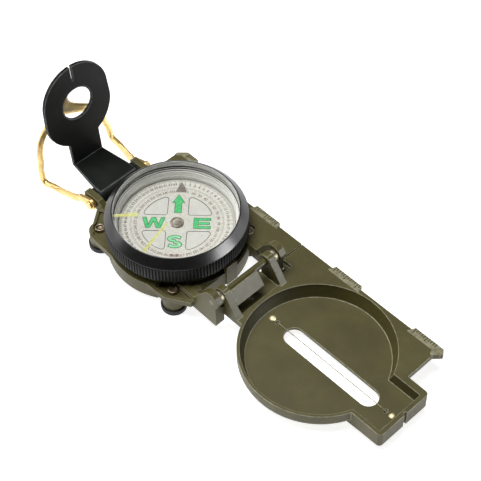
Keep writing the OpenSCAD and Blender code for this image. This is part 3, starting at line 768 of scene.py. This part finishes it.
def progress(x, low, high):
    """How far x has come from low to high, from 0 to 1."""
    return max(0.0, min(1.0, (x - low) / (high - low)))


def in_loop(x, y, z):
    """A point of the loop, drooping about its hinge, as a point of the model."""
    c, s = math.cos(LOOP_DROOP), math.sin(LOOP_DROOP)
    return at(REAR_HINGE_X + x * c - z * s, y, REAR_HINGE_Z + x * s + z * c)


def loop_route():
    """The wire's centre line: along one arm, up its bend, over the arch and back."""
    half = [
        (-4, 12.9, 0), (-5.5, 12.95, -0.1), (-7, 13.1, -0.5), (-9, 13.5, -1.1),
        (-12, 14.1, -1.1), (-15, 14.75, -0.7), (-18, 15.3, -0.1),
    ]
    for degrees in range(0, 91, 18):
        s, c = math.sin(math.radians(degrees)), math.cos(math.radians(degrees))
        x, y = -LOOP_ARM + BEND_R * (1 - s), LOOP_HALF - BEND_SPREAD + BEND_SPREAD * s
        half.append((x, y, BEND_R * (1 - c)))
    half.append((-LOOP_ARM, LOOP_HALF - 0.3, 5.5))
    for degrees in range(0, 91, 10):
        s, c = math.sin(math.radians(degrees)), math.cos(math.radians(degrees))
        half.append((-LOOP_ARM, SHOULDER * c, ARCH_SIDE + (ARCH_H - ARCH_SIDE) * s))
    return half + [(x, -y, z) for x, y, z in reversed(half[:-1])]


def smooth_route(points, per_span):
    """A Catmull-Rom curve through the points."""
    out = []
    for i in range(len(points) - 1):
        p0, p1 = Vector(points[max(i - 1, 0)]), Vector(points[i])
        p2, p3 = Vector(points[i + 1]), Vector(points[min(i + 2, len(points) - 1)])
        for s in range(per_span):
            t = s / per_span
            slope, bend = p2 - p0, 2 * p0 - 5 * p1 + 4 * p2 - p3
            twist = 3 * p1 - p0 - 3 * p2 + p3
            out.append(0.5 * (2 * p1 + slope * t + bend * t ** 2 + twist * t ** 3))
    return out + [Vector(points[-1])]


def wire_data(path, sides):
    """The wire: round over the arch, and pressed flat and wide along its arms."""
    points, faces = [], []
    reference = Vector((0.6, 0, 0.8))  # no stretch of the wire runs this way
    for i, p in enumerate(path):
        along = (path[min(i + 1, len(path) - 1)] - path[max(i - 1, 0)]).normalized()
        u = along.cross(reference - along * along.dot(reference)).normalized()
        v = along.cross(u)
        thin = progress(p.x, PRESS_START, THIN_FROM)
        tall = min(progress(p.x, PRESS_START, WIDE_FROM), progress(-p.x, -WIDTH_END, -WIDE_UNTIL))
        ru, rv = WIRE_R * (1 - THINNER * thin), WIRE_R * (1 + WIDER * tall)
        for k in range(sides):
            a = 2 * math.pi * k / sides
            q = p + u * ru * math.cos(a) + v * rv * math.sin(a)
            points.append(in_loop(*q))
        if i:
            for k in range(sides):
                n = (k + 1) % sides
                b, t = (i - 1) * sides, i * sides
                faces.append((b + k, b + n, t + n, t + k))
    last = (len(path) - 1) * sides
    faces.append(tuple(range(sides - 1, -1, -1)))
    faces.append(tuple(last + k for k in range(sides)))
    return points, faces


def eye_data(y0, y1):
    """The flat eye at an end of the wire, round its pin."""
    outline = []
    for degrees in range(-90, 91, 12):
        a = math.radians(degrees)
        outline.append((EYE_R * math.cos(a), EYE_R * math.sin(a)))
    outline += [(-2.5, 1.95), (-4.5, 1.6), (-6.5, 1.25), (-6.5, -1.45), (-4.5, -1.7), (-2.5, -1.95)]
    points = [in_loop(x, y0, z) for x, z in outline] + [in_loop(x, y1, z) for x, z in outline]
    return points, prism_faces(len(outline))


wire = wire_data(smooth_route(loop_route(), 4), 20)
loop_parts = [wire, eye_data(EYE_IN, EYE_OUT), eye_data(-EYE_OUT, -EYE_IN)]
loop_mesh = mesh_of("loop_rough", *join_data(loop_parts))
outward = bmesh.new()
outward.from_mesh(loop_mesh)
bmesh.ops.recalc_face_normals(outward, faces=outward.faces)
outward.to_mesh(loop_mesh)
outward.free()
rough_loop = bpy.data.objects.new("loop_rough", loop_mesh)
bpy.context.scene.collection.objects.link(rough_loop)
weld = rough_loop.modifiers.new("weld", "REMESH")
weld.mode = "VOXEL"
weld.voxel_size = 0.17 * MM
relax = rough_loop.modifiers.new("relax", "SMOOTH")
relax.factor = 0.5
relax.iterations = 2
LOOP_SMOOTH_DEG = 75
brass_loop = baked(rough_loop)
finish_piece("thumb_loop_wire", brass_loop, "loop", (BRASS,), ("thumb_loop",), LOOP_SMOOTH_DEG)

# ---------------------------------------------------------------- rivets of the sighting wire
rivet = rounded([(0, -5.15), (1.2, -5.18), (1.15, -4.85), (0.7, -4.53), (0, -4.43)], 0.2)
rivets = join_data([lathe_data(rivet, 40, spot) for spot in RIVETS])
add_piece("rivet_heads", rivets, "lid", PALE_BRASS, ("wire_rivets",))

# ---------------------------------------------------------------- camera
AZIMUTH, ELEVATION, ROLL = math.radians(46.87), math.radians(50.48), math.radians(-1.07)
DISTANCE = 492 * MM
FOCAL_LENGTH, SENSOR = 105.1, 36
# The dial lies this far from the view's centre line, to the right and up
DIAL_RIGHT, DIAL_UP = -22.01 * MM, 2.93 * MM
along_floor = math.cos(ELEVATION)
back = Vector((math.sin(AZIMUTH) * along_floor, -math.cos(AZIMUTH) * along_floor, math.sin(ELEVATION)))
level = Vector((0, 0, 1)).cross(back).normalized()
upright = back.cross(level)
right = level * math.cos(ROLL) + upright * math.sin(ROLL)
up = upright * math.cos(ROLL) - level * math.sin(ROLL)
eye = DIAL - right * DIAL_RIGHT - up * DIAL_UP + back * DISTANCE
camera_data = bpy.data.cameras.new("camera")
camera_data.sensor_width = SENSOR
camera_data.lens = FOCAL_LENGTH
camera_data.clip_start = 0.01
camera = bpy.data.objects.new("camera", camera_data)
aim = Matrix((right, up, back)).transposed().to_4x4()
camera.matrix_world = Matrix.Translation(eye) @ aim
bpy.context.scene.collection.objects.link(camera)
bpy.context.scene.camera = camera

# ---------------------------------------------------------------- floor and light
FLOOR_HALF, FLOOR_Z = 3.0, -0.02 * MM
floor_corners = ((-1, -1), (1, -1), (1, 1), (-1, 1))
floor_points = [(x * FLOOR_HALF, y * FLOOR_HALF, FLOOR_Z) for x, y in floor_corners]
floor = bpy.data.objects.new("floor", mesh_of("floor", floor_points, [(0, 1, 2, 3)]))
floor.data.materials.append(FLOOR_WHITE)
bpy.context.scene.collection.objects.link(floor)

# The room: a bright low backdrop behind the object, darker overhead and in front
world = bpy.data.worlds.new("studio")
world.use_nodes = True
sky = world.node_tree
direction = sky.nodes.new("ShaderNodeTexCoord")


def sky_ramp(axis, from_low, from_high, to_low, to_high):
    """Brightness that changes with how far a direction points along an axis."""
    dot = sky.nodes.new("ShaderNodeVectorMath")
    dot.operation = "DOT_PRODUCT"
    dot.inputs[1].default_value = axis
    sky.links.new(direction.outputs["Generated"], dot.inputs[0])
    span = sky.nodes.new("ShaderNodeMapRange")
    span.interpolation_type = "SMOOTHSTEP"
    span.inputs["From Min"].default_value = from_low
    span.inputs["From Max"].default_value = from_high
    span.inputs["To Min"].default_value = to_low
    span.inputs["To Max"].default_value = to_high
    sky.links.new(dot.outputs["Value"], span.inputs["Value"])
    return span.outputs["Result"]


BACKDROP = (-0.73, 0.68, 0.0)
behind = sky_ramp(BACKDROP, -0.3, 0.2, 0.06, 1.3)
low_band = sky_ramp((0.0, 0.0, 1.0), 0.12, 0.55, 1.0, 0.05)
glow = sky.nodes.new("ShaderNodeMath")
glow.operation = "MULTIPLY"
sky.links.new(behind, glow.inputs[0])
sky.links.new(low_band, glow.inputs[1])
sky.links.new(glow.outputs[0], sky.nodes["Background"].inputs["Strength"])
bpy.context.scene.world = world
bpy.context.scene.view_settings.view_transform = "Standard"


def softbox(name, azimuth, elevation, distance, size, watts):
    """A square area light that faces the origin. Azimuth 0 is +X."""
    data = bpy.data.lights.new(name, "AREA")
    data.size = size
    data.energy = watts
    lamp = bpy.data.objects.new(name, data)
    a, e = math.radians(azimuth), math.radians(elevation)
    out = Vector((math.cos(a) * math.cos(e), math.sin(a) * math.cos(e), math.sin(e)))
    lamp.location = out * distance
    lamp.rotation_euler = out.to_track_quat("Z", "Y").to_euler()
    bpy.context.scene.collection.objects.link(lamp)
    return lamp


softbox("top_softbox", 208, 77, 1.0, 0.6, 11.8)
softbox("left_softbox", 215, 22, 0.9, 0.4, 2.2)
# Two low lights that show only in reflections
for name, azimuth, watts in (("right_reflector", 27, 8.0), ("far_reflector", 63, 1.2)):
    softbox(name, azimuth, 14, 0.9, 0.4, watts).visible_diffuse = False
